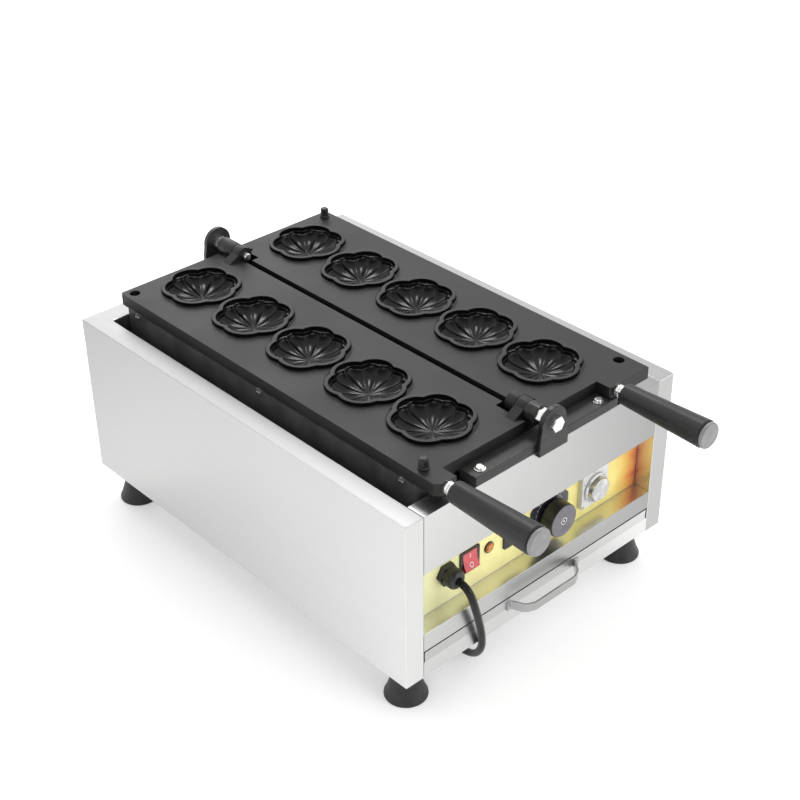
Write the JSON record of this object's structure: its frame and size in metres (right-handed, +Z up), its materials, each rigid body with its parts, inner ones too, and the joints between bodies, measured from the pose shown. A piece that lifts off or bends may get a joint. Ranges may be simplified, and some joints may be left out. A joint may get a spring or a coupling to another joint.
{
  "type": "flower waffle maker",
  "caption": "Countertop waffle maker: sheet steel housing with hinged cast iron plates of blossom shaped cavities that fold onto each other, with handles, control panel and crumb tray.",
  "frame": {"origin": "on the counter, under the middle of the object's outline without its cord", "axes": "+Z up, -Y towards the user at the control panel, +X to the user's right"},
  "size_m": [0.41, 0.8139, 0.3041],
  "materials": {
    "steel": "satin",
    "iron": "dark non-stick coating",
    "cover": "dark enamel",
    "rail": "black coating",
    "ear": "matt",
    "zinc": "bright zinc",
    "black_steel": "black oxide",
    "grip": "moulded heat resistant plastic",
    "cap": "smooth",
    "foot_rubber": "matt",
    "black_plastic": "moulded",
    "label": "printed film, yellow to red",
    "rocker_red": "gloss",
    "lamp": "translucent orange",
    "knob": "black with a grey face",
    "timer_plate": "light grey",
    "timer_silver": "silvery",
    "wool": "ceramic wool",
    "heater_tube": "heat tinted",
    "ceramic": "ceramic",
    "cord": "black sheath",
    "pins": "nickel plated"
  },
  "bodies": {
    "housing": {"left_side_panel": "steel", "right_side_panel": "steel", "rear_panel": "steel", "front_panel": "steel", "base_plate": "steel", "compartment_shield": "steel", "tray_runners": "steel", "foot_screws": "zinc", "rail_screws": "zinc", "hinge_bolts": "zinc", "hinge_nuts": "zinc", "hinge_spacers": "black_steel", "front_rail": "rail", "rear_rail": "rail", "front_hinge_ear": "ear", "rear_hinge_ear": "ear", "rubber_feet": "foot_rubber", "switch_frame": "black_plastic", "alarm_buzzer": "black_plastic", "thermostat_dial": "black_plastic", "gland_body": "black_plastic", "gland_nut": "black_plastic", "plug_body": "black_plastic", "thermostat_body": "black_plastic", "timer_body": "black_plastic", "control_label": "label", "indicator_lamp": "lamp", "timer_dial": "timer_plate", "terminal_block": "ceramic", "power_cord": "cord", "cord_coil": "cord", "cord_tail": "cord", "plug_pins": "pins"},
    "left_plate": {"left_mould_plate": "iron", "left_locating_pin": "black_steel", "left_heater_cover": "cover", "left_insulation_pad": "wool", "left_heating_element": "heater_tube", "left_heater_clamps": "zinc", "left_cover_screws": "zinc", "left_handle_rod": "zinc", "left_handle_ferrule": "zinc", "left_handle_grip": "grip", "left_handle_cap": "cap"},
    "right_plate": {"right_mould_plate": "iron", "right_locating_pin": "black_steel", "right_heater_cover": "cover", "right_insulation_pad": "wool", "right_heating_element": "heater_tube", "right_heater_clamps": "zinc", "right_cover_screws": "zinc", "right_handle_rod": "zinc", "right_handle_ferrule": "zinc", "right_handle_grip": "grip", "right_handle_cap": "cap"},
    "tray": {"crumb_tray": "steel", "tray_handle": "steel"},
    "power_rocker": {"power_rocker": "rocker_red"},
    "thermostat_knob": {"thermostat_knob": "knob"},
    "timer_knob": {"timer_knob": "timer_silver"}
  },
  "joints": [
    {"name": "left_plate_hinge", "type": "hinge", "parent": "housing", "child": "left_plate", "pos_m": [0, 0.0565, 0.2856], "axis": [0, 1, 0], "range_deg": [0, 180]},
    {"name": "right_plate_hinge", "type": "hinge", "parent": "housing", "child": "right_plate", "pos_m": [0, 0.0565, 0.2856], "axis": [0, -1, 0], "range_deg": [0, 180]},
    {"name": "tray_slide", "type": "slide", "parent": "housing", "child": "tray", "axis": [0, -1, 0], "range_m": [0, 0.42], "deforming": ["power_cord"]},
    {"name": "power_rocker_tip", "type": "hinge", "parent": "housing", "child": "power_rocker", "pos_m": [-0.0937, -0.19975, 0.143], "axis": [1, 0, 0], "range_deg": [0, 26]},
    {"name": "thermostat_turn", "type": "hinge", "parent": "housing", "child": "thermostat_knob", "pos_m": [0.03, -0.21475, 0.141], "axis": [0, 1, 0], "range_deg": [0, 270]},
    {"name": "timer_turn", "type": "hinge", "parent": "housing", "child": "timer_knob", "pos_m": [0.0998, -0.21075, 0.1435], "axis": [0, 1, 0], "range_deg": [0, 300]}
  ]
}
